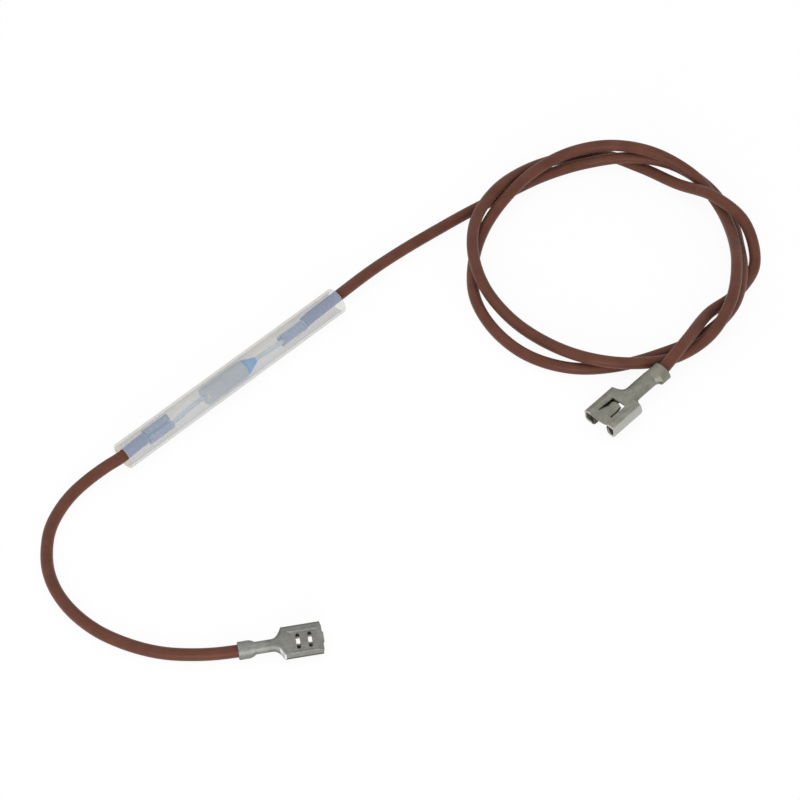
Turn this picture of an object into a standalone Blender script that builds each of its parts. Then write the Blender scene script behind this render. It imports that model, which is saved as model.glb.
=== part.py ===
import math

import bpy
from mathutils import Matrix, Vector

bpy.data.objects.remove(bpy.data.objects["Cube"]) if "Cube" in bpy.data.objects else None
for old in list(bpy.data.objects):
    bpy.data.objects.remove(old)

# Driving dimensions, in millimetres
wire_diameter = 2.5
strand_bundle_radius = 0.5
lead_diameter = 1.0
strip_gap = 0.3

sleeve_length = 58.4
sleeve_outer_diameter = 5.8
sleeve_wall = 0.5

case_diameter = 4.0
case_length = 10.9
case_wall = 0.28
case_end_wall = 0.35
case_offset = -2.2
bore_clearance = 0.06
stack_gap = 0.05

seal_cone_length = 3.0

splice_length = 6.0
splice_sheet = 0.3
strip_length = 0.6
short_lead_run = 9.15
long_lead_run = 7.35

small_sheet = 0.35
small_width = 6.2
small_height = 2.45
small_box_length = 7.57
small_overall = 16.15
large_sheet = 0.4
large_width = 8.4
large_height = 3.1
large_box_length = 8.0
large_overall = 18.4
tab_gap = 0.55
crimp_clearance = 0.15

# Sizes that follow
wire_radius = wire_diameter / 2
lead_radius = lead_diameter / 2
axis_height = sleeve_outer_diameter / 2
case_left = case_offset - case_length / 2
case_right = case_left + case_length
case_radius = case_diameter / 2
case_bore = case_radius - case_wall

# Where the wires leave the sleeve and how they lie on the table
sleeve_half = sleeve_length / 2
seal_tip = case_right + seal_cone_length
small_splice_right = case_left - short_lead_run
small_splice_left = small_splice_right - splice_length
large_splice_left = seal_tip + long_lead_run
large_splice_right = large_splice_left + splice_length
short_insulation_end = small_splice_left - strip_length
long_insulation_end = large_splice_right + strip_length
short_wire_seat = (0.3, 0.15)
long_wire_seat = (0.25, 0.12)
short_route = [
    (short_insulation_end, short_wire_seat[0], axis_height + short_wire_seat[1]),
    (short_insulation_end - 3.1, 0.25, axis_height + 0.1),
    (short_insulation_end - 6.3, 0.15, 2.8), (-33.2, 0.7, 2.4), (-37.6, 1.0, 1.9),
    (-42.1, 0.7, 1.5), (-46.5, -0.6, 1.3), (-50.5, -2.8, 1.3), (-53.9, -6.0, 1.3), (-56.6, -9.7, 1.3),
    (-58.4, -13.9, 1.3), (-59.3, -18.45, 1.3), (-59.35, -23.05, 1.3), (-58.65, -27.65, 1.3),
    (-57.2, -32.0, 1.3), (-55.2, -36.2, 1.3), (-52.7, -40.0, 1.3), (-49.6, -43.5, 1.4),
    (-46.2, -46.7, 1.6), (-42.5, -49.5, 1.75), (-40.8, -50.6, 1.75),
]
long_route = [
    (long_insulation_end, long_wire_seat[0], axis_height + long_wire_seat[1]),
    (long_insulation_end + 3.1, 0.45, axis_height + 0.15),
    (long_insulation_end + 6.2, 0.55, axis_height + 0.15), (long_insulation_end + 9.3, 0.65, 3.0),
    (39.9, 1.35, 2.2),
    (49.4, 1.4, 1.4), (58.9, 0.45, 1.3), (68.3, -0.8, 1.3),
    (77.7, -2.6, 1.3), (87.1, -4.7, 1.4), (95.6, -8.8, 2.2), (102.6, -15.5, 4.1), (108.2, -22.9, 3.5),
    (110.4, -31.6, 1.7), (107.8, -40.6, 1.3), (102.1, -48.1, 2.2), (95.0, -55.0, 4.1), (87.2, -59.2, 3.4),
    (78.2, -59.0, 1.5), (68.7, -56.2, 1.3), (59.6, -51.9, 1.3), (52.5, -45.7, 1.3), (48.5, -37.2, 1.3),
    (48.4, -27.7, 1.3), (51.7, -18.7, 1.3), (58.2, -11.7, 1.4), (66.3, -6.9, 2.1), (75.4, -4.7, 3.7),
    (85.1, -4.1, 4.4), (94.2, -5.9, 4.7), (101.0, -11.6, 6.2), (105.6, -20.0, 6.8), (108.5, -29.2, 4.5),
    (106.8, -38.0, 3.2), (101.7, -46.3, 4.4), (94.8, -53.4, 6.3), (86.9, -58.9, 6.2), (78.4, -61.0, 3.6),
    (69.6, -59.2, 2.1), (61.1, -54.8, 3.6), (55.3, -47.7, 4.0), (53.1, -38.5, 2.5), (52.6, -28.7, 2.0),
    (53.9, -19.5, 3.3), (58.4, -11.3, 4.2), (65.5, -5.1, 4.3), (74.6, -2.0, 4.2), (84.3, -1.6, 2.9),
    (93.6, -3.7, 1.4), (100.9, -9.3, 1.4), (104.3, -18.0, 1.4), (105.3, -27.4, 2.9), (105.9, -36.9, 6.1),
    (105.6, -46.2, 5.4), (100.9, -53.7, 2.1), (92.4, -56.2, 1.3), (82.7, -56.6, 3.0), (73.1, -59.3, 5.5),
    (64.6, -60.3, 3.6), (62.7, -60.3, 3.4),
]
small_mouth = (-28.85, -58.02, 1.2)
small_turn = (math.radians(-33.04), 0.0, math.radians(30.0))
large_mouth = (45.9, -60.5, 0.62)
large_turn = (math.radians(180.0), math.radians(4.6), math.radians(10.3))


def material(name, colour, roughness, metallic, alpha=1.0):
    found = bpy.data.materials.get(name)
    if found is not None:
        return found
    made = bpy.data.materials.new(name)
    made.use_nodes = True
    shader = made.node_tree.nodes["Principled BSDF"]
    shader.inputs["Base Color"].default_value = (*colour, 1.0)
    shader.inputs["Roughness"].default_value = roughness
    shader.inputs["Metallic"].default_value = metallic
    shader.inputs["Alpha"].default_value = alpha
    return made


def solid(name, verts, faces, finish, smooth=True):
    mesh = bpy.data.meshes.new(name)
    mesh.from_pydata([tuple(0.001 * c for c in v) for v in verts], [], faces)
    mesh.validate()
    mesh.update()
    if smooth:
        for face in mesh.polygons:
            face.use_smooth = True
    made = bpy.data.objects.new(name, mesh)
    bpy.context.scene.collection.objects.link(made)
    made.data.materials.append(finish)
    return made


def smooth_curve(points, steps):
    padded = [Vector(p) for p in points]
    padded = [2 * padded[0] - padded[1]] + padded + [2 * padded[-1] - padded[-2]]
    found = []
    for i in range(1, len(padded) - 2):
        a, b, c, d = padded[i - 1:i + 3]
        for k in range(steps):
            u = k / steps
            found.append(0.5 * (2 * b + (c - a) * u + (2 * a - 5 * b + 4 * c - d) * u * u
                                + (3 * b - 3 * c + d - a) * u ** 3))
    found.append(padded[-2])
    return found


# One turned profile about an axis parallel to X, given as (x, radius) pairs in a closed loop
def turned(name, profile, finish, segments=32, height=None, across=0.0):
    height = axis_height if height is None else height
    verts = []
    faces = []
    count = len(profile)
    for s in range(segments):
        angle = 2 * math.pi * s / segments
        for x, r in profile:
            verts.append((x, across + r * math.cos(angle), height + r * math.sin(angle)))
    for s in range(segments):
        t = (s + 1) % segments
        for k in range(count):
            m = (k + 1) % count
            faces.append((s * count + k, s * count + m, t * count + m, t * count + k))
    return fix_normals(solid(name, verts, faces, finish))


def fix_normals(made):
    import bmesh
    work = bmesh.new()
    work.from_mesh(made.data)
    bmesh.ops.remove_doubles(work, verts=work.verts, dist=1e-7)
    bmesh.ops.recalc_face_normals(work, faces=work.faces)
    work.to_mesh(made.data)
    work.free()
    return made


# A full turned body whose profile starts and ends on the axis
def turned_full(name, profile, finish, segments=32):
    verts = [(profile[0][0], 0.0, axis_height)]
    faces = []
    inner = profile[1:-1]
    count = len(inner)
    for s in range(segments):
        angle = 2 * math.pi * s / segments
        for x, r in inner:
            verts.append((x, r * math.cos(angle), axis_height + r * math.sin(angle)))
    verts.append((profile[-1][0], 0.0, axis_height))
    last = len(verts) - 1
    for s in range(segments):
        t = (s + 1) % segments
        faces.append((0, 1 + s * count, 1 + t * count))
        for k in range(count - 1):
            a = 1 + s * count + k
            b = 1 + t * count + k
            faces.append((a, a + 1, b + 1, b))
        faces.append((last, 1 + t * count + count - 1, 1 + s * count + count - 1))
    return fix_normals(solid(name, verts, faces, finish))


# A closed section swept along a path, the section a list of (across, up) pairs or a function of the turn
def swept(name, path, section, finish, up=(0.0, 0.0, 1.0), twist=0.0):
    verts = []
    faces = []
    up = Vector(up)
    travelled = 0.0
    count = None
    for i, point in enumerate(path):
        ahead = path[min(i + 1, len(path) - 1)]
        behind = path[max(i - 1, 0)]
        along = (ahead - behind).normalized()
        across = up.cross(along).normalized()
        high = along.cross(across).normalized()
        if i:
            travelled += (point - path[i - 1]).length
        turn = twist * travelled
        shape = section(i / (len(path) - 1)) if callable(section) else section
        count = len(shape)
        for a, b in shape:
            c = a * math.cos(turn) - b * math.sin(turn)
            d = a * math.sin(turn) + b * math.cos(turn)
            verts.append(tuple(point + across * c + high * d))
    for i in range(len(path) - 1):
        for k in range(count):
            m = (k + 1) % count
            faces.append((i * count + k, i * count + m, (i + 1) * count + m, (i + 1) * count + k))
    faces.append(tuple(range(count)))
    faces.append(tuple((len(path) - 1) * count + k for k in reversed(range(count))))
    return fix_normals(solid(name, verts, faces, finish))


def circle(radius, sides):
    return [(radius * math.cos(2 * math.pi * k / sides), radius * math.sin(2 * math.pi * k / sides))
            for k in range(sides)]


# Bundle of twisted strands as one rope with lobes
def rope(radius, lobes=7, per_lobe=3):
    shape = []
    for k in range(lobes * per_lobe):
        angle = 2 * math.pi * k / (lobes * per_lobe)
        bulge = abs(math.cos(lobes * angle / 2))
        r = radius * (0.86 + 0.14 * bulge)
        shape.append((r * math.cos(angle), r * math.sin(angle)))
    return shape


# A folded sheet: rows of (x, across, up) points out from its middle, the other side mirrored or
# with rows of its own
def sheet(name, rows, present, thickness, place, finish, other=None):
    columns = len(rows[0])
    width = 2 * columns - 1
    verts = []
    for row, across in zip(rows, other or rows):
        left = [(x, -y, z) for x, y, z in reversed(across[1:])]
        for point in left + list(row):
            verts.append(tuple(place @ Vector(point)))
    faces = []
    for i in range(len(rows) - 1):
        for k in range(width - 1):
            middle = k - (columns - 1)
            column = middle if middle >= 0 else -middle - 1
            if present(i, column):
                a = i * width + k
                faces.append((a, a + 1, a + width + 1, a + width))
    used = sorted({v for face in faces for v in face})
    index = {v: n for n, v in enumerate(used)}
    made = solid(name, [verts[v] for v in used], [tuple(index[v] for v in face) for face in faces], finish)
    made = fix_normals(made)
    thick = made.modifiers.new("sheet", "SOLIDIFY")
    thick.thickness = 0.001 * thickness
    thick.offset = 0.0
    thick.use_even_offset = True
    thick.use_quality_normals = True
    return made


def place_at(mouth, turn):
    yaw, pitch, roll = turn
    spin = Matrix.Rotation(yaw, 4, "Z") @ Matrix.Rotation(pitch, 4, "Y") @ Matrix.Rotation(roll, 4, "X")
    return Matrix.Translation(Vector(mouth)) @ spin


insulation = material("wire_insulation", (0.145, 0.066, 0.045), 0.5, 0.0)
plating = material("tinned_plate", (0.30, 0.30, 0.27), 0.4, 1.0)
clear = material("clear_sleeve", (0.72, 0.74, 0.76), 0.25, 0.0, 0.35)
cup_metal = material("cup_metal", (0.35, 0.34, 0.33), 0.35, 1.0)
bright_wire = material("tinned_wire", (0.55, 0.54, 0.52), 0.35, 1.0)
copper = material("copper_strand", (0.60, 0.28, 0.16), 0.4, 1.0)
band_metal = material("crimp_band", (0.45, 0.40, 0.33), 0.4, 1.0)
resin = material("blue_resin", (0.10, 0.30, 0.55), 0.45, 0.0)
pellet = material("pellet_compound", (0.75, 0.70, 0.55), 0.8, 0.0)
ceramic = material("ceramic", (0.82, 0.80, 0.76), 0.6, 0.0)
spring_steel = material("spring_steel", (0.42, 0.42, 0.43), 0.35, 1.0)
silver = material("silver_plate", (0.75, 0.73, 0.70), 0.3, 1.0)

# Sleeve
half = sleeve_half
outer = sleeve_outer_diameter / 2
inner = outer - sleeve_wall
edge = 0.08
turned("insulating_sleeve", [
    (-half, inner), (-half, outer - edge), (-half + edge, outer), (0.0, outer), (half - edge, outer),
    (half, outer - edge), (half, inner), (0.0, inner),
], clear, 48)

# Cup of the cutoff with its mouth rolled in
turned("cutoff_case", [
    (case_left, lead_radius + bore_clearance), (case_left, case_radius - 0.3),
    (case_left + 0.1, case_radius - 0.09), (case_left + 0.3, case_radius),
    (case_right - 0.75, case_radius), (case_right - 0.3, case_radius - 0.15),
    (case_right, case_radius - 0.45), (case_right - 0.1, case_radius - 0.68),
    (case_right - 0.55, case_bore - 0.17), (case_right - 0.9, case_bore),
    (case_left + case_end_wall, case_bore), (case_left + case_end_wall, lead_radius + bore_clearance),
], cup_metal, 32)

# Cone of resin in and over the mouth
seal_back = case_right - 0.9
turned("epoxy_seal", [
    (seal_back, lead_radius + bore_clearance), (seal_back, case_bore - 0.06),
    (case_right - 0.62, case_bore - 0.22), (case_right - 0.1, case_radius - 0.76),
    (case_right + 0.06, case_radius - 0.70), (case_right + 0.08, case_radius - 0.27),
    (case_right + 0.12 * seal_cone_length, case_radius - 0.27),
    (case_right + 0.3 * seal_cone_length, case_radius - 0.5),
    (case_right + 0.66 * seal_cone_length, case_radius - 0.96),
    (case_right + seal_cone_length, lead_radius + 0.16),
    (case_right + seal_cone_length, lead_radius + bore_clearance),
], resin, 28)

# Ceramic bushing with a nose towards the contact
bush_back = seal_back - stack_gap
bush_front = bush_back - 0.138 * case_length
bush_nose = 0.08 * case_length
turned("ceramic_bushing", [
    (bush_back, lead_radius + bore_clearance), (bush_back, case_bore - 0.1),
    (bush_front, case_bore - 0.1), (bush_front, 0.9), (bush_front - bush_nose, 0.85),
    (bush_front - bush_nose, lead_radius + bore_clearance),
], ceramic, 24)

# Stack behind the closed end: pellet, disc, barrel spring, disc, star contact
pellet_left = case_left + case_end_wall + 0.4
pellet_right = pellet_left + 0.266 * case_length
turned_full("thermal_pellet", [
    (pellet_left, 0.0), (pellet_left, case_bore - 0.22), (pellet_left + 0.12, case_bore - 0.1),
    (pellet_right - 0.12, case_bore - 0.1), (pellet_right, case_bore - 0.22), (pellet_right, 0.0),
], pellet, 24)

disc_left = pellet_right + stack_gap
disc_thickness = 0.2
turned_full("pellet_disc", [
    (disc_left, 0.0), (disc_left, case_bore - 0.15), (disc_left + disc_thickness, case_bore - 0.15),
    (disc_left + disc_thickness, 0.0),
], spring_steel, 24)

spring_left = disc_left + disc_thickness + stack_gap
spring_length = 0.211 * case_length
spring_wire = 0.15


def coil(name, left, length, turns, radius_at, wire, finish):
    steps = int(turns * 12)
    run = length - 2 * wire
    path = []
    for i in range(steps + 1):
        f = i / steps
        angle = 2 * math.pi * turns * f
        r = radius_at(f)
        path.append(Vector((left + wire + run * f, r * math.cos(angle), axis_height + r * math.sin(angle))))
    return swept(name, path, circle(wire, 6), finish, up=(1.0, 0.0, 0.0))


coil("barrel_spring", spring_left, spring_length, 4.0,
     lambda f: 1.05 + 0.3 * math.sin(math.pi * f), spring_wire, spring_steel)

back_disc_left = spring_left + spring_length + stack_gap
turned_full("spring_disc", [
    (back_disc_left, 0.0), (back_disc_left, 1.3), (back_disc_left + disc_thickness, 1.3),
    (back_disc_left + disc_thickness, 0.0),
], spring_steel, 24)

# Star contact: a dished disc whose points touch the cup
star_sheet = 0.12
star_left = back_disc_left + disc_thickness + stack_gap
star_points = 8
star_steps = star_points * 4
star_rings = [0.25, 0.7, 1.15, case_bore - 0.1]
star_verts = [(star_left + star_sheet / 2, 0.0, axis_height)]
star_faces = []
for r in star_rings:
    dish = 0.12 * (r / star_rings[-1]) ** 2
    for s in range(star_steps):
        angle = 2 * math.pi * s / star_steps
        star_x = star_left + star_sheet / 2 + dish
        star_verts.append((star_x, r * math.cos(angle), axis_height + r * math.sin(angle)))
for s in range(star_steps):
    t = (s + 1) % star_steps
    star_faces.append((0, 1 + s, 1 + t))
    for ring in range(len(star_rings) - 1):
        if ring == 2 and s % 4 == 3:
            continue
        a = 1 + ring * star_steps
        b = a + star_steps
        star_faces.append((a + s, b + s, b + t, a + t))
star = fix_normals(solid("star_contact", star_verts, star_faces, silver))
star_thick = star.modifiers.new("sheet", "SOLIDIFY")
star_thick.thickness = 0.001 * star_sheet
star_thick.offset = 0.0

# Bare leads; each bends from the cutoff's axis to its place in the splice
view_across = Vector((0.0, 0.875, 0.483))
view_up = Vector((0.0, -0.483, 0.875))
core = Vector((0.0, 0.0, axis_height))
seat_across = 0.68
seat_drop = -0.24
small_splice_shift = 0.25 * view_across
large_splice_u = -view_up
large_splice_v = view_across


def seat(shift, across, upward, side):
    return core + shift + across * (side * seat_across) + upward * seat_drop


small_lead_seat = seat(small_splice_shift, view_across, view_up, -1)
small_strand_seat = seat(small_splice_shift, view_across, view_up, 1)
large_lead_seat = seat(Vector((0.0, 0.0, 0.0)), large_splice_u, large_splice_v, -1)
large_strand_seat = seat(Vector((0.0, 0.0, 0.0)), large_splice_u, large_splice_v, 1)


def at(x, place):
    return Vector((x, place.y, place.z))


head_left = case_left + case_end_wall + stack_gap
case_lead_path = [
    at(case_left - 0.13 * short_lead_run, core), at(case_left - 0.29 * short_lead_run, core),
    at(case_left - 0.63 * short_lead_run, core.lerp(small_lead_seat, 0.5)),
    at(case_left - 0.91 * short_lead_run, small_lead_seat),
    at(small_splice_right - 0.6 * splice_length, small_lead_seat),
    at(small_splice_left - 0.2, small_lead_seat),
]


def headed_lead(name, tip, shoulders, path, sides=12):
    line = smooth_curve(path, 5)
    start = line[0]
    direction = 1.0 if line[-1].x > start.x else -1.0
    rings = [(at(x, core), r) for x, r in shoulders]
    rings += [(point, lead_radius) for point in line]
    verts = [tuple(at(tip, core))]
    faces = []
    for i, (point, r) in enumerate(rings):
        if i < len(shoulders):
            along = Vector((direction, 0.0, 0.0))
        else:
            ahead = rings[min(i + 1, len(rings) - 1)][0]
            behind = rings[i - 1][0]
            along = (ahead - behind).normalized()
        across = Vector((0.0, 0.0, 1.0)).cross(along).normalized()
        high = along.cross(across)
        for a, b in circle(r, sides):
            verts.append(tuple(point + across * a + high * b))
    verts.append(tuple(rings[-1][0]))
    last = len(verts) - 1
    for s in range(sides):
        t = (s + 1) % sides
        faces.append((0, 1 + s, 1 + t))
        for i in range(len(rings) - 1):
            a = 1 + i * sides
            faces.append((a + s, a + sides + s, a + sides + t, a + t))
        faces.append((last, 1 + (len(rings) - 1) * sides + t, 1 + (len(rings) - 1) * sides + s))
    return fix_normals(solid(name, verts, faces, bright_wire))


headed_lead("case_lead", head_left + 0.3, [
    (head_left + 0.3, 0.6), (head_left + 0.22, 0.8), (head_left, 0.8), (head_left, lead_radius),
    (case_left - 0.6, lead_radius),
], case_lead_path)

contact_left = star_left + star_sheet + 0.12 * (0.75 / star_rings[-1]) ** 2 + stack_gap + 0.02
isolated_path = [
    at(seal_tip + 0.09 * long_lead_run, core), at(seal_tip + 0.25 * long_lead_run, core),
    at(seal_tip + 0.57 * long_lead_run, core.lerp(large_lead_seat, 0.5)),
    at(seal_tip + 0.91 * long_lead_run, large_lead_seat),
    at(large_splice_left + 0.5 * splice_length, large_lead_seat),
    at(large_splice_right + 0.2, large_lead_seat),
]
headed_lead("isolated_lead", contact_left, [
    (contact_left + 0.03, 0.3), (contact_left + 0.12, 0.62), (contact_left + 0.2, 0.7),
    (contact_left + 0.34, 0.7), (contact_left + 0.34, lead_radius), (bush_back + 1.0, lead_radius),
], isolated_path)

trip_left = contact_left - 0.02
coil("trip_spring", trip_left, bush_front - stack_gap - trip_left, 3.0,
     lambda f: 1.02 + 0.36 * f, 0.12, spring_steel)

# Crimped bands that hold a bare lead and a strand bundle side by side
band_half = [
    (0.20, 0.46), (0.25, 0.70), (0.44, 0.87), (0.72, 0.93), (1.05, 0.88), (1.33, 0.68), (1.47, 0.35),
    (1.50, 0.0), (1.46, -0.35), (1.30, -0.66), (1.02, -0.87), (0.60, -0.95), (0.0, -0.96),
]


def band_outline(flare):
    middle = [Vector((x, y, 0.0)) for x, y in band_half]
    line = [Vector((-p.x, p.y, 0.0)) for p in middle[:-1]][::1]
    line = line + [Vector((p.x, p.y, 0.0)) for p in reversed(middle)]
    for n, p in enumerate(line):
        keep = 1.0 if 1 < n < len(line) - 2 else 0.0
        line[n] = p * (1.0 + keep * flare)
    near = []
    far = []
    for n, p in enumerate(line):
        ahead = line[min(n + 1, len(line) - 1)]
        behind = line[max(n - 1, 0)]
        along = (ahead - behind).normalized()
        side = Vector((-along.y, along.x, 0.0))
        near.append(p + side * splice_sheet / 2)
        far.append(p - side * splice_sheet / 2)
    return near + far[::-1]


def band(name, left, shift, across, upward, lean):
    stations = [0.0, 0.35, 0.8, splice_length / 2, splice_length - 0.8, splice_length - 0.35, splice_length]
    flares = [0.06, 0.04, 0.0, 0.0, 0.0, 0.04, 0.06]
    verts = []
    faces = []
    count = None
    for x, flare in zip(stations, flares):
        outline = band_outline(flare)
        count = len(outline)
        centre = core + shift + across * lean * (x / splice_length - 0.5)
        for p in outline:
            verts.append(tuple(Vector((left + x, 0.0, 0.0)) + Vector((0.0, centre.y, centre.z))
                               + across * p.x + upward * p.y))
    for i in range(len(stations) - 1):
        for k in range(count):
            m = (k + 1) % count
            faces.append((i * count + k, i * count + m, (i + 1) * count + m, (i + 1) * count + k))
    end = (len(stations) - 1) * count
    half_count = count // 2
    for k in range(half_count - 1):
        faces.append((k, k + 1, count - 2 - k, count - 1 - k))
        faces.append((end + k, end + k + 1, end + count - 2 - k, end + count - 1 - k))
    return fix_normals(solid(name, verts, faces, band_metal))


band("splice_short", small_splice_left, small_splice_shift, view_across, view_up, 0.0)
band("splice_long", large_splice_left, Vector((0.0, 0.0, 0.0)), large_splice_u, large_splice_v, 0.0)

strand_twist = 2 * math.pi / 9.0
short_wire_end = core + Vector((0.0, *short_wire_seat))
long_wire_end = core + Vector((0.0, *long_wire_seat))
swept("strands_short_splice", smooth_curve([
    at(short_insulation_end + strip_gap, short_wire_end),
    at(small_splice_left + 0.3, small_strand_seat),
    at(small_splice_left + 0.45 * splice_length, small_strand_seat),
    at(small_splice_right + 0.3, small_strand_seat),
], 5), rope(strand_bundle_radius), copper, twist=strand_twist)
swept("strands_long_splice", smooth_curve([
    at(long_insulation_end - strip_gap, long_wire_end),
    at(large_splice_right - 0.3, large_strand_seat),
    at(large_splice_left + 0.45 * splice_length, large_strand_seat),
    at(large_splice_left - 0.3, large_strand_seat),
], 5), rope(strand_bundle_radius), copper, twist=strand_twist)


# Insulated leads as tubes through points of the smooth routes
def tube(name, route, points):
    line = smooth_curve(route, 40)
    chosen = []
    for n in range(points):
        f = n * (len(line) - 1) / (points - 1)
        low = min(int(f), len(line) - 2)
        chosen.append(line[low].lerp(line[low + 1], f - low))
    data = bpy.data.curves.new(name, "CURVE")
    data.dimensions = "3D"
    data.bevel_depth = 0.001 * wire_radius
    data.bevel_resolution = 2
    data.use_fill_caps = True
    data.twist_mode = "MINIMUM"
    spline = data.splines.new("POLY")
    spline.points.add(len(chosen) - 1)
    for n, p in enumerate(chosen):
        spline.points[n].co = (0.001 * p.x, 0.001 * p.y, 0.001 * p.z, 1.0)
    made = bpy.data.objects.new(name, data)
    bpy.context.scene.collection.objects.link(made)
    made.data.materials.append(insulation)
    return made


tube("short_lead", short_route, 36)
tube("long_lead", long_route, 84)


# Receptacle sections, as half paths from the middle of the plate to the tip of a wing
def box_section(x, width, height, thick, columns, corner, belly, lip, low, bead, bead_rise):
    w = (width - thick) / 2
    top = height - thick / 2
    bottom = thick / 2
    path = [(x, y, top + (bead_rise if y == bead else 0.0)) for y in columns]
    path.append((x, w - corner, top - low))
    path.append((x, w - corner * 0.3, top - low - corner * 0.3))
    path.append((x, w, top - low - corner))
    path.append((x, w, (top - low - corner + bottom + belly) / 2))
    path.append((x, w, bottom + belly))
    path.append((x, w - belly * 0.3, bottom + belly * 0.3))
    path.append((x, w - belly, bottom))
    for y, z in lip:
        path.append((x, y, z))
    return path


def round_section(half_width, half_height, centre, total, seam, tuck=0.0):
    path = []
    for k in range(total):
        angle = (math.pi - seam) * k / (total - 1)
        y = half_width * math.sin(angle)
        z = centre + half_height * math.cos(angle)
        if k == total - 1:
            z += tuck
        path.append((0.0, y, z))
    return path


def blend(first, second, f, x):
    return [(x, a[1] + (b[1] - a[1]) * f, a[2] + (b[2] - a[2]) * f) for a, b in zip(first, second)]


def cut_back(section, columns, distance, x):
    return [(x - distance * columns.get(n, 0.0), y, z) for n, (_, y, z) in enumerate(section)]


def moved(section, x):
    return [(x, y, z) for _, y, z in section]


def pushed(section, columns, distance):
    return [(x + distance, y, z) if n in columns else (x, y, z) for n, (x, y, z) in enumerate(section)]


# Small receptacle: two slots in the plate and a bead along each side
small_bead = 2.02
small_columns = [0.0, 0.9, 1.2, 1.46, small_bead - 0.2, small_bead, small_bead + 0.2]
small_bead_rise = 0.10
small_lip_top = small_height - small_sheet - tab_gap
small_lip = [(1.50, 0.28), (0.98, 0.60), (0.66, small_lip_top)]
small_slots = [(-2.8, -2.05), (-5.1, -4.35)]
slot_end = 0.24


def small_box(x, rise=0.0):
    section = box_section(x, small_width, small_height, small_sheet, small_columns, 0.42, 0.72, small_lip,
                          0.07, small_bead, rise)
    for low, high in small_slots:
        if x == low:
            section = pushed(section, (3,), slot_end)
        if x == high:
            section = pushed(section, (3,), -slot_end)
    return section


small_total = len(small_box(0.0))
ring_radius = wire_radius + crimp_clearance + small_sheet / 2
small_axis = small_height - small_sheet / 2 - ring_radius
small_barrel_half = 1.22 - small_sheet / 2
small_barrel_centre = small_height - small_sheet / 2 - 0.9
small_barrel = round_section(small_barrel_half, 0.9, small_barrel_centre, small_total, 0.20, 0.16)
small_ring = round_section(ring_radius, ring_radius, small_axis, small_total, 0.10)
small_shoulder = small_box(0.0)
small_box_end = -small_box_length
small_back = -small_overall
small_mouth_cut = {0: -0.22, 1: -0.22, 7: 0.10, 8: 0.22, 9: 0.30, 10: 0.26, 11: 0.12}
small_mouth_row = cut_back(small_shoulder, small_mouth_cut, 1.0, 0.0)
small_rows = [
    small_mouth_row, small_box(-0.5), small_box(-1.2, small_bead_rise),
    small_box(-2.05, small_bead_rise), small_box(-2.8, small_bead_rise), small_box(-4.35, small_bead_rise),
    small_box(-5.1, small_bead_rise), small_box(-5.9, small_bead_rise), small_box(-6.6),
    small_box(small_box_end), blend(small_shoulder, small_barrel, 0.34, small_box_end - 0.35),
    blend(small_shoulder, small_barrel, 0.70, small_box_end - 0.85),
    blend(small_shoulder, small_barrel, 0.93, small_box_end - 1.45),
    moved(small_barrel, small_box_end - 2.1), moved(small_barrel, small_box_end - 3.7),
    moved(small_barrel, small_back + 3.25),
    blend(small_barrel, small_ring, 0.6, small_back + 2.75), moved(small_ring, small_back + 2.15),
    moved(small_ring, small_back + 1.1), moved(small_ring, small_back),
]
small_slot_rows = (3, 5)
small_shear = (9, 10)
small_neck = (11, 12)
small_joint = (15, 16)


def small_present(row, column):
    if row in small_slot_rows:
        return column > 2
    if row in small_shear:
        return column < 9
    if row in small_neck:
        return column < 10
    if row in small_joint:
        return column < 10
    return True


small_place = place_at(small_mouth, small_turn)
sheet("terminal_short_lead", small_rows, small_present, small_sheet, small_place, plating)

# Large receptacle: a window with a locking tongue bent down in it, and a bead along each side
large_bead = 2.88
tongue_root = 1.6
tongue_tip = 1.2
tongue_droop = 0.22
window_half = 1.84
large_columns = [0.0, 0.7, tongue_root, window_half, large_bead - 0.2, large_bead, large_bead + 0.2]
large_bead_rise = 0.09
large_lip_top = large_height - large_sheet - tab_gap
large_lip = [(2.68, 0.26), (2.36, 0.62), (2.2, large_lip_top)]
large_far_lip = [(2.02, 0.26), (1.58, 0.62), (1.42, large_lip_top)]
tongue_rows = [-1.75, -2.4, -3.2, -4.0, -4.7, -5.4]
tongue_depth = [0.0, 0.08, 0.2, 0.28, 0.24, 0.14]


def large_box(x, rise, lip):
    section = box_section(x, large_width, large_height, large_sheet, large_columns, 0.48, 0.8, lip,
                          0.08, large_bead, rise)
    if x in tongue_rows:
        step = tongue_rows.index(x)
        edge_y = tongue_root + (tongue_tip - tongue_root) * step / (len(tongue_rows) - 1)
        found = []
        for n, (a, y, z) in enumerate(section):
            if n < 3:
                y = y * edge_y / tongue_root
                z = z - tongue_depth[step] - (tongue_droop * min(1.0, step / 3) if n == 2 else 0.0)
            found.append((a, y, z))
        section = found
    if x == tongue_rows[-1]:
        section = pushed(pushed(section, (0, 1), -0.1), (2,), 0.12)
    return section


large_total = len(large_box(0.0, 0.0, large_lip))
large_ring_radius = wire_radius + crimp_clearance + large_sheet / 2
large_axis = large_height - large_sheet / 2 - large_ring_radius + 0.2
large_barrel_half = 1.7 - large_sheet / 2
large_barrel_high = 1.25
large_barrel_centre = large_height - large_sheet / 2 - large_barrel_high
large_box_end = -large_box_length
large_back = -large_overall
large_beaded = [-1.2] + tongue_rows + [-6.0]


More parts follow.
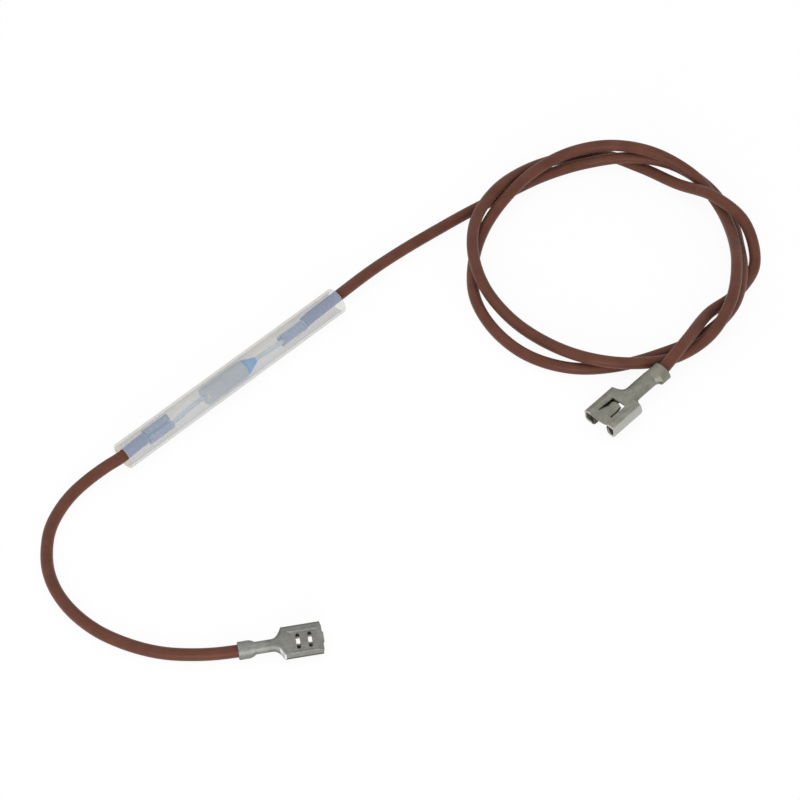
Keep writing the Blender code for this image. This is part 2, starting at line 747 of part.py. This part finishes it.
def large_side(lip, swell, bulge, hang):
    barrel = round_section(large_barrel_half + swell, large_barrel_high, large_barrel_centre, large_total,
                           0.20, 0.18)
    ring = round_section(large_ring_radius + bulge, large_ring_radius, large_axis, large_total, 0.10, -hang)
    shoulder = large_box(0.0, 0.0, lip)
    rows = [cut_back(shoulder, {0: -0.15, 1: -0.15, 2: -0.12, 8: 0.05, 9: 0.1, 10: 0.1}, 1.0, 0.0)]
    rows += [large_box(-0.6, 0.0, lip)]
    rows += [large_box(x, large_bead_rise, lip) for x in large_beaded]
    rows += [large_box(-7.0, 0.0, lip), large_box(large_box_end, 0.0, lip)]
    for f, x in ((0.38, -0.4), (0.76, -0.95), (0.95, -1.55)):
        rows.append(blend(shoulder, barrel, f, large_box_end + x))
    rows += [moved(barrel, large_box_end - 2.3), moved(barrel, large_box_end - 5.0)]
    rows += [moved(barrel, large_back + 3.25), blend(barrel, ring, 0.55, large_back + 2.65)]
    rows += [moved(ring, large_back + 2.1), moved(ring, large_back + 1.05), moved(ring, large_back)]
    return rows


large_window = range(3, 9)
large_neck = range(11, 15)
large_joint = (17, 18)


def large_present(row, column):
    if row in large_window and column == 2:
        return False
    if row == 8 and column < 3:
        return False
    if row in large_neck:
        return column < 11
    if row in large_joint:
        return column < 8
    return True


large_place = place_at(large_mouth, large_turn)
near_side = large_side(large_lip, -0.05, 0.8, 0.7)
far_side = large_side(large_far_lip, 0.28, 0.05, 0.0)
sheet("terminal_long_lead", near_side, large_present, large_sheet, large_place, plating, far_side)


# Stripped conductor in each conductor barrel
def bared(name, place, start, stop, centre):
    line = [place @ Vector((start + (stop - start) * k / 12, 0.0, centre)) for k in range(13)]
    return swept(name, line, rope(strand_bundle_radius), copper, twist=strand_twist)


small_strand_height = small_barrel_centre + 0.1
large_strand_height = large_barrel_centre + 0.1
bared("strands_short_terminal", small_place, small_back + 2.25, small_box_end - 1.5, small_strand_height)
bared("strands_long_terminal", large_place, large_back + 2.3, large_box_end - 1.9, large_strand_height)
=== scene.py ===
import math

import bmesh
import bpy
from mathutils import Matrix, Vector


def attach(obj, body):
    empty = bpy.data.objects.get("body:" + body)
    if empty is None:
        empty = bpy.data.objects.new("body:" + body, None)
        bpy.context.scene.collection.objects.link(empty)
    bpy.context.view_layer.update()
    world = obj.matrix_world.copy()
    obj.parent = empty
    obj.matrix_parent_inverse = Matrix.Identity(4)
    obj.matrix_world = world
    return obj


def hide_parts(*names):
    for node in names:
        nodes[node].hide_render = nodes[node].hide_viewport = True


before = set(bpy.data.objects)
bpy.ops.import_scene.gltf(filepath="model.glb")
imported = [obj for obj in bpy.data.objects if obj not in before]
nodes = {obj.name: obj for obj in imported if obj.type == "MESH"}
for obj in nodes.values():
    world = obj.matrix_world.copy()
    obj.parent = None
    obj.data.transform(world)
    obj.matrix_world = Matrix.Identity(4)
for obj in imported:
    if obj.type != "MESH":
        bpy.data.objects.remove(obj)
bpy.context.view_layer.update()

# Table and light. A white table and an even white room, as for a catalogue picture, with
# a weak broad lamp overhead and a stronger one low at the front left.
bpy.context.scene.view_settings.view_transform = "Standard"


class Nodes:
    """A node tree, and the one way in which nodes are added to it."""

    def __init__(self, tree):
        self.tree = tree

    def node(self, kind, output=0, settings=None, slots=None, **sockets):
        made = self.tree.nodes.new(kind)
        for key, value in (settings or {}).items():
            setattr(made, key, value)
        for number, value in (slots or {}).items():
            self.put(made.inputs[number], value)
        for key, value in sockets.items():
            self.put(made.inputs[key.replace("_", " ")], value)
        return Sock(self.tree, made.outputs[output])

    def put(self, slot, value):
        if isinstance(value, Sock):
            self.tree.links.new(value.socket, slot)
        elif isinstance(value, tuple) and len(value) == 3 and len(slot.default_value) == 4:
            slot.default_value = (*value, 1.0)
        else:
            slot.default_value = value


class Sock(Nodes):
    """A node's output that can be written in sums."""

    def __init__(self, tree, socket):
        super().__init__(tree)
        self.socket = socket

    def maths(self, operation, *values):
        return self.node("ShaderNodeMath", settings={"operation": operation},
                         slots=dict(enumerate(values)))

    def __add__(self, other):
        return self.maths("ADD", self, other)

    def __radd__(self, other):
        return self.maths("ADD", other, self)

    def __sub__(self, other):
        return self.maths("SUBTRACT", self, other)

    def __rsub__(self, other):
        return self.maths("SUBTRACT", other, self)

    def __mul__(self, other):
        return self.maths("MULTIPLY", self, other)

    def __rmul__(self, other):
        return self.maths("MULTIPLY", other, self)

    def __pow__(self, other):
        return self.maths("POWER", self, other)

    def at_most(self, other):
        return self.maths("MINIMUM", self, other)

    def magnitude(self):
        return self.maths("ABSOLUTE", self)

    def between(self, low, high):
        """0 below low, 1 above high, smooth between."""
        return self.node("ShaderNodeMapRange", output="Result",
                         settings={"interpolation_type": "SMOOTHSTEP"},
                         Value=self, From_Min=low, From_Max=high)

    def fade(self, over):
        """0 below 0, 1 above over, smooth between."""
        return self.between(0.0, over)


class Finish(Nodes):
    """One material: its shader and the nodes that feed it."""

    def __init__(self, name, **sockets):
        self.material = bpy.data.materials.new(name)
        self.material.use_nodes = True
        super().__init__(self.material.node_tree)
        self.shader = self.tree.nodes["Principled BSDF"]
        self.give(**sockets)

    def give(self, **sockets):
        for key, value in sockets.items():
            self.put(self.shader.inputs[key.replace("_", " ")], value)

    def show(self, shader):
        """Puts another shader on the surface in place of the plain one."""
        self.put(self.tree.nodes["Material Output"].inputs["Surface"], shader)

    def mix(self, factor, first, second):
        """Two colours mixed. A Mix node has its colours in slots 6 and 7 and at output 2."""
        return self.node("ShaderNodeMix", output=2, settings={"data_type": "RGBA"},
                         slots={0: factor, 6: first, 7: second})

    def place(self):
        return self.node("ShaderNodeTexCoord", output="Object")

    def split(self, vector):
        made = self.node("ShaderNodeSeparateXYZ", Vector=vector).socket.node
        return [Sock(self.tree, output) for output in made.outputs]

    def stretched(self, vector, along, across, up):
        return self.node("ShaderNodeMapping", Vector=vector, Scale=(along, across, up))

    def noise(self, scale, detail, roughness, vector=None):
        return self.node("ShaderNodeTexNoise", output="Fac", Scale=scale, Detail=detail,
                         Roughness=roughness, Vector=vector or self.place())

    def bump(self, height, distance, strength):
        return self.node("ShaderNodeBump", Height=height, Distance=distance, Strength=strength)


pure_white = (1.0, 1.0, 1.0)
table_white = (0.86, 0.86, 0.86)
glow_share = 0.93
table_half_width = 1.5
table_centre = (0.03, -0.02, 0.0)

white_table = Finish("white_table")
camera_ray = white_table.node("ShaderNodeLightPath", output="Is Camera Ray")
glossy_ray = white_table.node("ShaderNodeLightPath", output="Is Glossy Ray")
through_ray = white_table.node("ShaderNodeLightPath", output="Is Transmission Ray")
seen = (camera_ray + glossy_ray + through_ray).at_most(1.0)
board = white_table.node("ShaderNodeBsdfDiffuse", Color=table_white)
glow = white_table.node("ShaderNodeEmission", Color=pure_white)
white_table.show(white_table.node(
    "ShaderNodeMixShader", slots={0: seen * glow_share, 1: board, 2: glow}))

table_mesh = bmesh.new()
bmesh.ops.create_grid(table_mesh, x_segments=1, y_segments=1, size=table_half_width)
bmesh.ops.translate(table_mesh, verts=table_mesh.verts, vec=table_centre)
table_data = bpy.data.meshes.new("table")
table_mesh.to_mesh(table_data)
table_mesh.free()
table_data.materials.append(white_table.material)
table = bpy.data.objects.new("table", table_data)
bpy.context.scene.collection.objects.link(table)

room_strength = 0.85
background_strength = 1.0
room = bpy.data.worlds.new("room")
bpy.context.scene.world = room
room.use_nodes = True
room_nodes = Nodes(room.node_tree)
room_seen = room_nodes.node("ShaderNodeLightPath", output="Is Camera Ray")
sky = room.node_tree.nodes["Background"]
room_nodes.put(sky.inputs["Color"], pure_white)
room_nodes.put(sky.inputs["Strength"], room_nodes.node(
    "ShaderNodeMapRange", output="Result", Value=room_seen,
    To_Min=room_strength, To_Max=background_strength))


def facing(place, target):
    """The turn that points a lamp or a camera at its target."""
    return (Vector(target) - Vector(place)).to_track_quat("-Z", "Y").to_euler()


def lamp(name, place, width, power):
    data = bpy.data.lights.new(name, "AREA")
    data.shape = "DISK"
    data.size = width
    data.energy = power
    made = bpy.data.objects.new(name, data)
    made.location = place
    made.rotation_euler = facing(place, target=(0.02, -0.03, 0.0))
    bpy.context.scene.collection.objects.link(made)


lamp("overhead_lamp", place=(-0.05, 0.15, 0.75), width=0.5, power=0.9)
lamp("front_lamp", place=(-0.45, -0.45, 0.22), width=0.4, power=2.5)

# Camera. A long lens looks down on the part at half the way to overhead, with the
# sleeve running up to the right.
camera_place = (-0.1944, -0.2513, 0.4067)
camera_data = bpy.data.cameras.new("camera")
camera_data.lens = 112.5
camera_data.sensor_width = 36.0
camera_data.clip_start = 0.01
camera_data.clip_end = 10.0
camera = bpy.data.objects.new("camera", camera_data)
camera.location = camera_place
camera.rotation_euler = facing(camera_place, target=(0.02209, -0.0266, 0.0))
bpy.context.scene.collection.objects.link(camera)
bpy.context.scene.camera = camera


# Works in the cup. Steel springs and discs, a silver-plated star contact, a pressed pellet
# and a fired bushing, stacked loose from the closed end to the mouth.
def dress(node, finish):
    """Gives a solid of the part its finish."""
    made = nodes[node]
    made.data.materials.clear()
    made.data.materials.append(finish.material)


def mottled(name, scale, detail, breakup, low, high, dark, light, smoothest, spread,
            relief, strength, stretch=None, **sockets):
    """A finish whose colour, roughness and relief all follow one noise."""
    finish = Finish(name, **sockets)
    vector = finish.stretched(finish.place(), *stretch) if stretch else None
    grain = finish.noise(scale, detail, breakup, vector)
    finish.give(
        Base_Color=finish.mix(grain.between(low, high), dark, light),
        Roughness=smoothest + spread * grain,
        Normal=finish.bump(grain, relief, strength),
    )
    return finish


spring_steel = mottled(
    "spring_steel", scale=4200.0, detail=2.0, breakup=0.55, low=0.35, high=0.65,
    dark=(0.38, 0.38, 0.39), light=(0.50, 0.50, 0.51), smoothest=0.28, spread=0.14,
    relief=0.00001, strength=0.5, Metallic=1.0)
for node in ("pellet_disc", "barrel_spring", "spring_disc", "trip_spring"):
    dress(node, spring_steel)

dress("star_contact", mottled(
    "silver_plate", scale=1600.0, detail=3.0, breakup=0.6, low=0.3, high=0.7,
    dark=(0.66, 0.62, 0.56), light=(0.82, 0.80, 0.77), smoothest=0.22, spread=0.16,
    relief=0.00001, strength=0.5, Metallic=1.0))

dress("thermal_pellet", mottled(
    "pressed_pellet", scale=3200.0, detail=3.0, breakup=0.65, low=0.35, high=0.65,
    dark=(0.66, 0.60, 0.44), light=(0.80, 0.75, 0.60), smoothest=0.70, spread=0.18,
    relief=0.00004, strength=0.7, Specular_IOR_Level=0.4))

dress("ceramic_bushing", mottled(
    "fired_ceramic", scale=2600.0, detail=3.0, breakup=0.6, low=0.3, high=0.7,
    dark=(0.76, 0.74, 0.69), light=(0.86, 0.84, 0.80), smoothest=0.48, spread=0.16,
    relief=0.00003, strength=0.6, Specular_IOR_Level=0.45))

# Bare leads. Tinned copper wire, drawn and bright, one fixed to the closed end of the cup
# and one held in the bushing by its head.
tinned_wire = mottled(
    "tinned_wire", scale=6000.0, detail=2.0, breakup=0.5, low=0.3, high=0.7,
    dark=(0.56, 0.62, 0.70), light=(0.66, 0.73, 0.80), smoothest=0.24, spread=0.12,
    relief=0.00001, strength=0.5, stretch=(0.08, 1.0, 1.0), Metallic=1.0)
dress("case_lead", tinned_wire)
dress("isolated_lead", tinned_wire)

# Cutoff. A cup deep-drawn from plated copper, its mouth rolled in over the seal, which is
# a cone of blue resin cured round the lead.
dark_plate = (0.48, 0.47, 0.37)
light_plate = (0.57, 0.56, 0.45)
plated_cup = Finish("plated_cup", Metallic=1.0)
round_the_cup = plated_cup.stretched(plated_cup.place(), 1.0, 0.08, 0.08)
ring_mark = plated_cup.noise(2400.0, 2.0, 0.5, round_the_cup)
stain = plated_cup.noise(420.0, 3.0, 0.55)
plated_cup.give(
    Base_Color=plated_cup.mix(stain.between(0.3, 0.7), dark_plate, light_plate),
    Roughness=0.26 + 0.08 * ring_mark,
    Normal=plated_cup.bump(ring_mark, 0.00002, 0.5),
)
dress("cutoff_case", plated_cup)

dress("epoxy_seal", mottled(
    "blue_resin", scale=900.0, detail=3.0, breakup=0.5, low=0.3, high=0.7,
    dark=(0.004, 0.19, 0.72), light=(0.008, 0.25, 0.84), smoothest=0.28, spread=0.14,
    relief=0.00005, strength=0.5))

# Leads. Stranded wire in brown moulded insulation, 2.5 mm across, cut to length and left
# in the curves it was packed in: the short one in one bend, the long one in a loose coil.
# Both routes are in millimetres, and start inside the sleeve.
millimetre = 0.001
wire_width = 0.0025
short_route = [
    (-23.4, 0.3, 3.05), (-26.5, 0.25, 3.0), (-29.7, 0.15, 2.8), (-33.2, 0.7, 2.4),
    (-37.6, 1.0, 1.9), (-42.1, 0.7, 1.5), (-46.5, -0.6, 1.3), (-50.5, -2.8, 1.3),
    (-53.9, -6.0, 1.3), (-56.6, -9.7, 1.3), (-58.4, -13.9, 1.3), (-59.3, -18.45, 1.3),
    (-59.35, -23.05, 1.3), (-58.65, -27.65, 1.3), (-57.2, -32.0, 1.3), (-55.2, -36.2, 1.3),
    (-52.7, -40.0, 1.3), (-49.6, -43.5, 1.4), (-46.2, -46.7, 1.6), (-42.5, -49.5, 1.75),
    (-40.8, -50.6, 1.75),
]
long_route = [
    (20.2, 0.25, 3.02), (23.3, 0.45, 3.05), (26.4, 0.55, 3.05), (29.5, 0.65, 3.0),
    (39.9, 1.35, 2.2), (49.4, 1.4, 1.4), (58.9, 0.45, 1.3), (68.3, -0.8, 1.3),
    (77.7, -2.6, 1.3), (87.1, -4.7, 1.4), (95.6, -8.8, 2.2), (102.6, -15.5, 4.1),
    (108.2, -22.9, 3.5), (110.4, -31.6, 1.7), (107.8, -40.6, 1.3), (102.1, -48.1, 2.2),
    (95.0, -55.0, 4.1), (87.2, -59.2, 3.4), (78.2, -59.0, 1.5), (68.7, -56.2, 1.3),
    (59.6, -51.9, 1.3), (52.5, -45.7, 1.3), (48.5, -37.2, 1.3), (48.4, -27.7, 1.3),
    (51.7, -18.7, 1.3), (58.2, -11.7, 1.4), (66.3, -6.9, 2.1), (75.4, -4.7, 3.7),
    (85.1, -4.1, 4.4), (94.2, -5.9, 4.7), (101.0, -11.6, 6.2), (105.6, -20.0, 6.8),
    (108.5, -29.2, 4.5), (106.8, -38.0, 3.2), (101.7, -46.3, 4.4), (94.8, -53.4, 6.3),
    (86.9, -58.9, 6.2), (78.4, -61.0, 3.6), (69.6, -59.2, 2.1), (61.1, -54.8, 3.6),
    (55.3, -47.7, 4.0), (53.1, -38.5, 2.5), (52.6, -28.7, 2.0), (53.9, -19.5, 3.3),
    (58.4, -11.3, 4.2), (65.5, -5.1, 4.3), (74.6, -2.0, 4.2), (84.3, -1.6, 2.9),
    (93.6, -3.7, 1.4), (100.9, -9.3, 1.4), (104.3, -18.0, 1.4), (105.3, -27.4, 2.9),
    (105.9, -36.9, 6.1), (105.6, -46.2, 5.4), (100.9, -53.7, 2.1), (92.4, -56.2, 1.3),
    (82.7, -56.6, 3.0), (73.1, -59.3, 5.5), (64.6, -60.3, 3.6), (62.7, -60.3, 3.4),
]


def smooth_curve(points, steps):
    """A smooth line through the points, with so many steps from each to the next."""
    padded = [Vector(p) * millimetre for p in points]
    padded = [2 * padded[0] - padded[1]] + padded + [2 * padded[-1] - padded[-2]]
    found = []
    for i in range(1, len(padded) - 2):
        a, b, c, d = padded[i - 1:i + 3]
        for k in range(steps):
            u = k / steps
            found.append(0.5 * (2 * b + (c - a) * u + (2 * a - 5 * b + 4 * c - d) * u * u
                                + (3 * b - 3 * c + d - a) * u ** 3))
    found.append(padded[-2])
    return found


dark_brown = (0.0815, 0.0277, 0.0176)
light_brown = (0.1035, 0.0364, 0.0234)
brown_insulation = Finish(
    "brown_insulation", Specular_IOR_Level=0.22, Specular_Tint=(1.0, 0.72, 0.62),
    Sheen_Weight=0.12, Sheen_Roughness=0.5, Sheen_Tint=(1.0, 0.68, 0.58))
mottle = brown_insulation.noise(260.0, 3.0, 0.55)
fine = brown_insulation.noise(2600.0, 2.0, 0.6)
brown_insulation.give(
    Base_Color=brown_insulation.mix(mottle.between(0.3, 0.7), dark_brown, light_brown),
    Roughness=0.40 + 0.16 * mottle,
    Normal=brown_insulation.bump(fine, 0.00003, 0.5),
)


def wire(name, route, node):
    """One wire as a cord, in place of the part's lead. The receptacle and the strands at its
    far end are dressed on their own.
    """
    line = smooth_curve(route, steps=8)
    data = bpy.data.curves.new(name, "CURVE")
    data.dimensions = "3D"
    data.bevel_depth = wire_width / 2
    data.bevel_resolution = 6
    data.use_fill_caps = True
    data.twist_mode = "MINIMUM"
    spline = data.splines.new("POLY")
    spline.points.add(len(line) - 1)
    for point, place in zip(spline.points, line):
        point.co = (*place, 1.0)
    data.materials.append(brown_insulation.material)
    made = bpy.data.objects.new(name, data)
    bpy.context.scene.collection.objects.link(made)
    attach(made, "root")
    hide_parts(node)
    length = sum((b - a).length for a, b in zip(line, line[1:]))


wire("short_wire", short_route, "short_lead")
wire("long_wire", long_route, "long_lead")

# Stripped ends. Fine tinned copper strands twisted together, caught in the terminals and
# in the splices.
strands = mottled(
    "tinned_copper_strand", scale=3800.0, detail=3.0, breakup=0.6, low=0.35, high=0.65,
    dark=(0.36, 0.25, 0.18), light=(0.46, 0.38, 0.32), smoothest=0.34, spread=0.16,
    relief=0.00003, strength=0.6, Metallic=1.0)
for node in ("strands_short_terminal", "strands_long_terminal",
             "strands_short_splice", "strands_long_splice"):
    dress(node, strands)

# Receptacles. Each is stamped from thin brass strip, folded and rolled at the sides, dull
# tinned, and crimped round the insulation and the stripped end of its wire. Under the plate
# inside the box the colour is a less metallic brown: dark as painted shade in the large one,
# lighter in the small one to lift its shade.
# Colours put into the tin where light is painted: a pale one for painted highlights, a dark
# one for painted shade.
painted_sheared_highlight = (0.54, 0.53, 0.51)
painted_shade_tone = (0.045, 0.04, 0.03)


def small_painted_light(along, across):
    """Painted highlight where the near shoulder was sheared, painted shade along the near
    roll.
    """
    box_end, box_half_width, shoulder_slope = 0.00757, 0.0031, 1.55
    shoulder_front, shoulder_back, sheared_band, roll_from = 0.0073, 0.0085, 0.0013, 0.0022
    half_width = box_half_width + shoulder_slope * (along + box_end)
    at_edge = (sheared_band - across - half_width).fade(0.0002)
    at_shoulder = (along + shoulder_back).fade(0.0003) * (-shoulder_front - along).fade(0.0001)
    near_roll = (-roll_from - across).fade(0.0003) * (along + shoulder_front).fade(0.0004)
    return at_edge * at_shoulder * 0.95, near_roll * 0.25


def large_painted_light(along, across):
    """Painted highlight where the rolled sides were cut at the mouth, painted shade by the
    tongue's near edge.
    """
    cut_band, roll_from = 0.0002, 0.0022
    cut = (along + cut_band).fade(0.00005) * (across.magnitude() - roll_from).fade(0.0004)
    tongue_root, root_half_width, tongue_taper = 0.00175, 0.0016, 0.11
    slit_front, slit_back, slit_edge, edge_band = 0.0019, 0.0058, 0.00182, 0.0003
    tongue_half = root_half_width + tongue_taper * (along + tongue_root)
    at_edge = ((across - tongue_half + edge_band).fade(0.0001)
               * (slit_edge - across).fade(0.00004))
    at_slit = (along + slit_back).fade(0.0002) * (-slit_front - along).fade(0.0002)
    return cut * 0.8, at_edge * at_slit * 0.9


def tinned(name, mouth, turn, width, height, depth, box_length, painted_light,
           inside, dull, pale, painted_edge_tone, satin, barrel_tone):
    """The tin of one receptacle. Its mouth is at 0 along, and all behind it is below 0."""
    finish = Finish(name, Specular_IOR_Level=0.15)
    own = finish.node("ShaderNodeMapping", settings={"vector_type": "TEXTURE"},
                      Vector=finish.place(), Location=mouth, Rotation=turn)
    along, across, up = finish.split(own)
    from_middle = across.magnitude()
    wall, roll, end, shoulder = 0.0005, 0.0004, 0.0002, 0.0025
    under_plate = ((height - depth) - up).fade(0.00012)
    between_walls = ((width / 2 - wall) - from_middle).fade(0.0002)
    in_box = (along + (box_length - end)).fade(0.0004)
    box_interior = under_plate * between_walls * in_box
    on_rolled_edge = (from_middle - (width / 2 - roll)).fade(0.0003)
    crimped = (-(box_length + shoulder) - along).fade(0.001)
    # Masks for the receptacle's painted highlight and painted shade.
    painted_highlight, painted_shade = painted_light(along, across)

    smear = finish.noise(620.0, 4.0, 0.6)
    streak = finish.noise(5200.0, 2.0, 0.55, finish.stretched(own, 0.12, 1.0, 1.0))
    tone = (0.65 * smear + 0.35 * streak).between(0.38, 0.62)
    # The crimped barrel and ring take the plate's tones times a factor: lighter on the small
    # receptacle, a little darker on the large one.
    barrel_tin = finish.mix(tone, tuple(barrel_tone * c for c in dull),
                            tuple(barrel_tone * c for c in pale))
    tin = finish.mix(crimped, finish.mix(tone, dull, pale), barrel_tin)
    # The rolled edges get another tone that is painted light: a painted highlight on the large
    # receptacle, painted shade on the small one.
    tin = finish.mix(on_rolled_edge * (0.5 + 0.5 * streak), tin, painted_edge_tone)
    # Painted shade under the plate inside the box: dark in the large receptacle, and lighter
    # than the tin in the small one to lift the shade in its slots.
    tin = finish.mix(box_interior * 0.9, tin, inside)
    tin = finish.mix(painted_highlight, tin, painted_sheared_highlight)
    tin = finish.mix(painted_shade, tin, painted_shade_tone)
    finish.give(
        Base_Color=tin,
        Metallic=1.0 - 0.8 * box_interior,
        Roughness=satin + 0.12 * smear + 0.08 * streak,
        Normal=finish.bump(streak, 0.00002, 0.6),
    )
    return finish


dress("terminal_short_lead", tinned(
    "tinned_brass_short", mouth=(-0.02885, -0.05802, 0.0012),
    turn=(math.radians(30.0), 0.0, math.radians(-33.04)),
    width=0.0062, height=0.00245, depth=0.0002, box_length=0.00757, painted_light=small_painted_light,
    inside=(0.34, 0.30, 0.23), dull=(0.165, 0.163, 0.150), pale=(0.219, 0.219, 0.206),
    painted_edge_tone=(0.105, 0.105, 0.098), satin=0.46, barrel_tone=1.25))
dress("terminal_long_lead", tinned(
    "tinned_brass_long", mouth=(0.0459, -0.0605, 0.00062),
    turn=(math.radians(10.3), math.radians(4.6), math.radians(180.0)),
    width=0.0084, height=0.0031, depth=0.00034, box_length=0.008, painted_light=large_painted_light,
    inside=(0.06, 0.048, 0.034), dull=(0.245, 0.239, 0.197), pale=(0.311, 0.307, 0.264),
    painted_edge_tone=(0.56, 0.56, 0.53), satin=0.52, barrel_tone=0.95))

# Splices. A strip of plated brass rolled round the bare lead and the stripped end and
# pressed down between them.
crimp_band = mottled(
    "crimp_band", scale=1100.0, detail=3.0, breakup=0.6, low=0.35, high=0.65,
    dark=(0.24, 0.23, 0.21), light=(0.33, 0.32, 0.29), smoothest=0.34, spread=0.16,
    relief=0.00003, strength=0.6, Metallic=1.0)
dress("splice_short", crimp_band)
dress("splice_long", crimp_band)

# Sleeve. Extruded soft tube, frosted and milky, cut off square at both ends and pushed
# over the fuse and both splices. Dark things seen through it look blue.
face_on = (0.455, 0.605, 0.885)
edge_on = (0.22, 0.46, 0.98)
warm_clear = (1.0, 0.935, 0.80)
haze_share, cloud_share = 0.25, 0.02
milky_sleeve = Finish("milky_sleeve", Specular_IOR_Level=0.12)
cloud = milky_sleeve.noise(140.0, 2.0, 0.5)
lengthways = milky_sleeve.stretched(milky_sleeve.place(), 0.06, 1.0, 1.0)
drawn = milky_sleeve.noise(1500.0, 2.0, 0.5, lengthways)
slant = milky_sleeve.node("ShaderNodeLayerWeight", output="Facing", Blend=0.5)
milky_sleeve.give(
    Base_Color=milky_sleeve.mix(slant ** 3.0, face_on, edge_on),
    Roughness=0.50 + 0.16 * cloud,
    Normal=milky_sleeve.bump(drawn, 0.00001, 0.3),
)
passing = milky_sleeve.node("ShaderNodeBsdfTransparent", Color=warm_clear)
milk = Sock(milky_sleeve.tree, milky_sleeve.shader.outputs[0])
milky_sleeve.show(milky_sleeve.node(
    "ShaderNodeMixShader", slots={0: haze_share + cloud_share * cloud, 1: passing, 2: milk}))
dress("insulating_sleeve", milky_sleeve)
